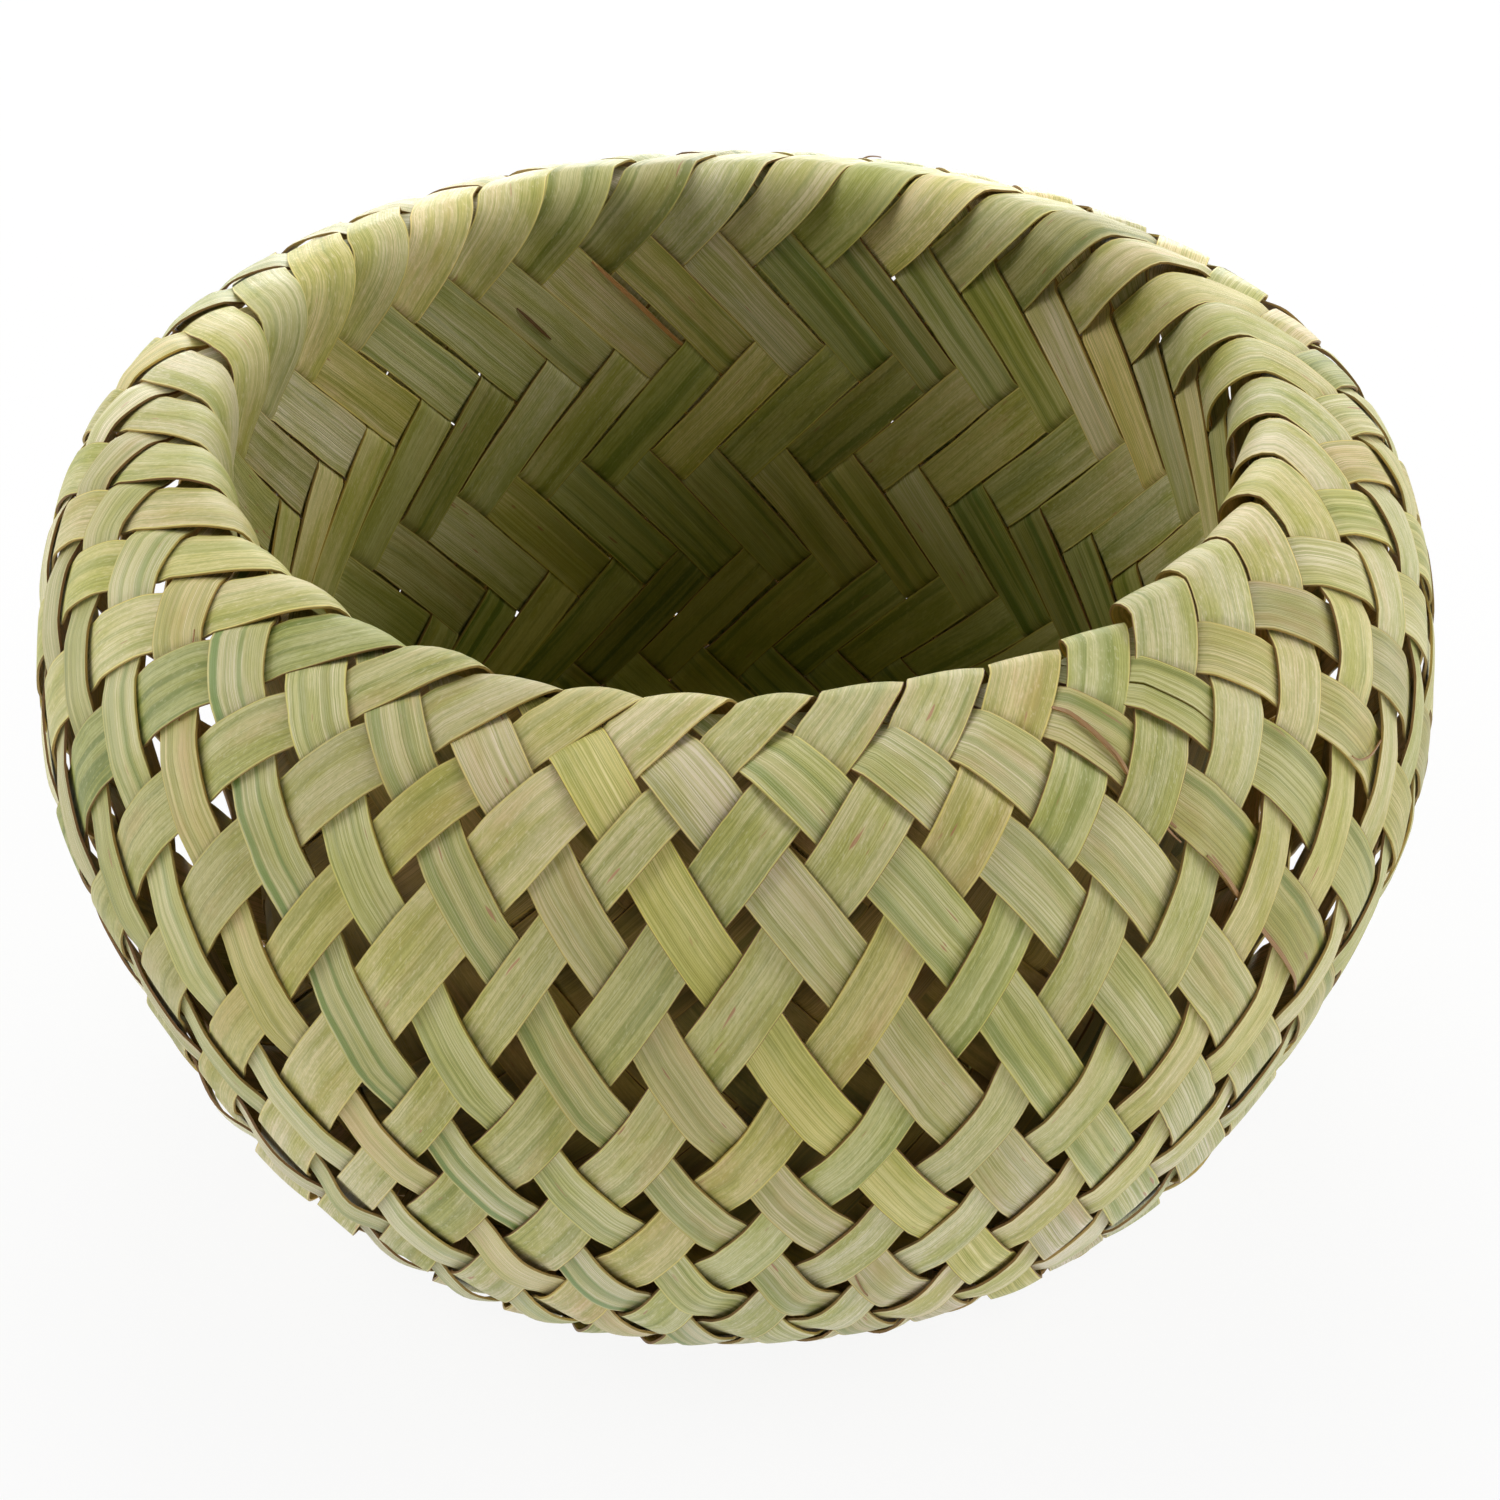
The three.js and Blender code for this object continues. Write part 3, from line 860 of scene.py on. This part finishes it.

# How half a strip can look: red, green and blue tint, streaks and blush.
# The tints are partly the leaf's own tone and partly painted light and shade.
LOOKS = {
    "sage": (0.98, 1.00, 1.00, 0.40, 0.15),
    "khaki": (1.02, 0.98, 1.00, 0.25, 0.30),
    "dusty": (0.98, 0.94, 1.06, 0.30, 0.35),
    "tan": (0.92, 0.88, 0.94, 0.30, 0.45),
    "green": (0.82, 0.87, 0.76, 0.65, 0.10),
    "olive": (0.92, 0.91, 0.90, 0.45, 0.35),
    "dull": (0.85, 0.83, 0.84, 0.40, 0.30),
    "dark": (0.74, 0.74, 0.66, 0.60, 0.20),
    "pale": (1.10, 1.08, 1.22, 0.20, 0.20),
    "silver": (1.20, 1.19, 1.46, 0.15, 0.15),
    "bright": (1.28, 1.24, 1.28, 0.15, 0.20),
    "yellow": (0.99, 0.96, 0.76, 0.15, 0.10),
    "striped": (0.94, 0.95, 0.98, 0.60, 0.10),
    "straw": (1.60, 1.40, 1.36, 0.10, 0.30),
}

# Following halves with a dark green band, how far it lies from their middle in millimetres,
# and how strong it is.
GREEN_BANDS = {
    "leaf_east_strip_01": (3.4, 0.85),
    "leaf_north_strip_02": (-2.6, 0.45),
    "leaf_east_strip_03": (-1.5, 0.35),
    "leaf_north_strip_09": (2.6, 0.35),
    "leaf_south_strip_04": (2.4, 0.5),
    "leaf_south_strip_05": (1.0, 0.5),
    "leaf_east_strip_08": (3.0, 0.4),
    "leaf_north_strip_05": (3.0, 0.3),
    "leaf_south_strip_02": (-2.0, 0.4),
}

# Looks of the dry fibres and the marks.
FIBRE_LOOK = (0.78, 0.50, 0.62, 0.30, 0.45)
MARK_LOOKS = {
    "scar": (0.13, 0.06, 0.08, 0.30, 0.45),
    "orange_edge": (1.7, 0.95, 1.1, 0.30, 0.45),
}
FIBRE_SEED = 77

# How much the leaf colours of strips of one tone differ, how shiny a leaf is, and how deep
# its veins are, in metres.
SHADE_SPREAD = 3
WARMTH_SPREAD = 2
LEAF_SHINE = 0.4
VEIN_DEPTH = 0.00012


def leaf_material(name, tone, leading_look, following_look, dice):
    material = bpy.data.materials.new(name)
    material.use_nodes = True
    tree = material.node_tree
    shader = tree.nodes["Principled BSDF"]
    shade = dice.uniform(-SHADE_SPREAD, SHADE_SPREAD)
    warmth = dice.uniform(-WARMTH_SPREAD, WARMTH_SPREAD)
    values = {}
    for socket, (red, green, blue) in zip(("Leaf", "Vein", "Streak", "Blush", "Edge"), TONES[tone]):
        values[socket] = linear(red + shade + warmth, green + shade, blue + shade - warmth)
    for half, (*tint, streaks, blush) in (("Leading", leading_look), ("Following", following_look)):
        values[f"{half} Tint"] = (*tint, 1)
        values[f"{half} Streaks"] = streaks
        values[f"{half} Blush"] = blush
    values["Seed"] = dice.uniform(0, 50)
    values["Specks"] = dice.choice([0.0, 0.4, 0.7])
    values["Edge Strength"] = dice.uniform(0.6, 1.0)
    values["Brown Cut"] = dice.uniform(0.3, 1.0)
    values["Band Place"], values["Band Strength"] = GREEN_BANDS.get(name, (0.0, 0.0))
    surface = node(tree, "ShaderNodeGroup", node_tree=LEAF_SURFACE)
    set_inputs(tree, surface, values)
    bump = node(tree, "ShaderNodeBump", {"Height": surface.outputs["Height"], "Strength": 1.0,
                                         "Distance": VEIN_DEPTH})
    set_inputs(tree, shader, {"Base Color": surface.outputs["Color"],
                              "Roughness": surface.outputs["Roughness"],
                              "Specular IOR Level": LEAF_SHINE,
                              "Normal": bump.outputs["Normal"]})
    return material


def wear(piece, material):
    piece.data.materials.clear()
    piece.data.materials.append(material)


slots = {part["node"]: part["material_slot"] for part in frame["record"]["subparts"]}
courses = {(quarter, number): Course(quarter, number)
           for quarter in range(len(SIDES)) for number in range(STRIPS_PER_SIDE)}

for (quarter, number), course in courses.items():
    side = SIDES[quarter]
    cad_name = f"{side}_strip_{number + 1:02d}"
    strip = strip_mesh(f"leaf_{cad_name}", course, courses)
    looks = [LOOKS[table[side].split()[number]] for table in (LEADING_LOOKS, FOLLOWING_LOOKS)]
    wear(strip, leaf_material(strip.name, slots[cad_name], *looks, course.dice))
    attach(strip, "root")
    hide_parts(cad_name)

for name, (cad_name, *shape) in (FIBRES | MARKS).items():
    side, _, number = cad_name.split("_")
    course = courses[SIDES.index(side), int(number) - 1]
    fibre = fibre_mesh(name, course, courses, *shape)
    look = MARK_LOOKS.get(name, FIBRE_LOOK)
    wear(fibre, leaf_material(f"dry_{name}", "straw_leaf", look, look,
                              np.random.default_rng(FIBRE_SEED)))
    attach(fibre, "root")

# Floor and backdrop, in metres. Both look white to the camera and in reflections, and add
# little light of their own.
WHITE = (1, 1, 1, 1)
PAPER = (0.86, 0.86, 0.86, 1)
PAPER_ROUGHNESS = 0.9
FLOOR_SIZE = 1.36
FLOOR_GLOW = 0.9
SKY_GLOW = 0.02


def seen_directly(tree):
    """1 where the camera, a reflection or a view through glass looks, and 0 for other light."""
    rays = node(tree, "ShaderNodeLightPath").outputs
    mirrored = calc(tree, "MAXIMUM", rays["Is Glossy Ray"], rays["Is Transmission Ray"])
    return calc(tree, "MAXIMUM", rays["Is Camera Ray"], mirrored)


def lay_floor():
    bpy.ops.object.select_all(action="DESELECT")
    bpy.ops.mesh.primitive_plane_add(size=FLOOR_SIZE)
    floor = bpy.context.object
    floor.name = "floor"
    paper = bpy.data.materials.new("white_paper")
    paper.use_nodes = True
    tree = paper.node_tree
    shader = tree.nodes["Principled BSDF"]
    set_inputs(tree, shader, {"Base Color": PAPER, "Roughness": PAPER_ROUGHNESS})
    glow = node(tree, "ShaderNodeEmission", {"Color": WHITE, "Strength": 1.0})
    share = calc(tree, "MULTIPLY", seen_directly(tree), FLOOR_GLOW)
    mixed = node(tree, "ShaderNodeMixShader", {0: share, 1: shader.outputs[0], 2: glow.outputs[0]})
    tree.links.new(mixed.outputs[0], tree.nodes["Material Output"].inputs["Surface"])
    floor.data.materials.append(paper)
    return floor


def hang_backdrop():
    world = bpy.data.worlds.new("studio")
    bpy.context.scene.world = world
    world.use_nodes = True
    tree = world.node_tree
    tree.nodes.clear()
    soft = node(tree, "ShaderNodeBackground", {"Color": WHITE, "Strength": SKY_GLOW})
    white = node(tree, "ShaderNodeBackground", {"Color": WHITE, "Strength": 1.0})
    mixed = node(tree, "ShaderNodeMixShader",
                 {0: seen_directly(tree), 1: soft.outputs[0], 2: white.outputs[0]})
    node(tree, "ShaderNodeOutputWorld", {"Surface": mixed.outputs[0]})


# Lamps: how far round from the front and how far up from level they stand, in degrees, and
# their power in watts. Sizes and distances are in metres.
LAMPS = {
    "softbox_back_high": (180, 62, 4.4),
    "softbox_right_high": (90, 62, 0.8),
    "softbox_left_high": (270, 62, 1.1),
    "softbox_right": (90, 35, 3.8),
    "softbox_left": (270, 35, 3.2),
    "low_softbox_front": (0, 10, 1.5),
    "low_softbox_right": (90, 10, 0.5),
    "low_softbox_back": (180, 10, 4.0),
    "low_softbox_left": (270, 10, 0.5),
}
REFLECTORS = {
    "reflector_front": (0, -1.5, 1.2),
    "reflector_right": (90, -1.5, 1.2),
    "reflector_back": (180, -1.5, 1.2),
    "reflector_left": (270, -1.5, 1.2),
}
LAMP_SIZE, LAMP_DISTANCE = (0.6, 0.6), 1.0
REFLECTOR_SIZE, REFLECTOR_DISTANCE = (0.8, 0.05), 0.7
LAMP_TARGET = Vector((0, 0, 0.06))


def softbox(name, azimuth, elevation, power, size, distance):
    """A soft lamp that faces the basket."""
    around, up = math.radians(azimuth), math.radians(elevation)
    direction = Vector((math.sin(around) * math.cos(up), -math.cos(around) * math.cos(up),
                        math.sin(up)))
    light = bpy.data.lights.new(name, "AREA")
    light.shape = "RECTANGLE"
    light.size, light.size_y = size
    light.energy = power
    lamp = bpy.data.objects.new(name, light)
    bpy.context.scene.collection.objects.link(lamp)
    lamp.location = direction * distance + LAMP_TARGET
    lamp.rotation_euler = (-direction).to_track_quat("-Z", "Y").to_euler()
    lamp.visible_camera = False


# Camera, at the height and distance from which the photograph was taken. Lengths are in
# metres, but its lens and sensor are in millimetres.
CAMERA_ELEVATION = 0.6078
CAMERA_DISTANCE = 0.605
CAMERA_TARGET_HEIGHT = 0.05941
CAMERA_SENSOR = 36
CAMERA_LENS = 89.6
CAMERA_SHIFT = 0.0092


def place_camera():
    camera_data = bpy.data.cameras.new("camera")
    camera_data.sensor_width = CAMERA_SENSOR
    camera_data.lens = CAMERA_LENS
    camera_data.shift_x = CAMERA_SHIFT
    camera = bpy.data.objects.new("camera", camera_data)
    bpy.context.scene.collection.objects.link(camera)
    back = CAMERA_DISTANCE * math.cos(CAMERA_ELEVATION)
    up = CAMERA_TARGET_HEIGHT + CAMERA_DISTANCE * math.sin(CAMERA_ELEVATION)
    camera.location = (0, -back, up)
    camera.rotation_euler = (QUARTER_TURN - CAMERA_ELEVATION, 0, 0)
    bpy.context.scene.camera = camera


lay_floor()
hang_backdrop()
for name, setting in LAMPS.items():
    softbox(name, *setting, LAMP_SIZE, LAMP_DISTANCE)
for name, setting in REFLECTORS.items():
    softbox(name, *setting, REFLECTOR_SIZE, REFLECTOR_DISTANCE)
place_camera()
bpy.context.scene.view_settings.view_transform = "Standard"
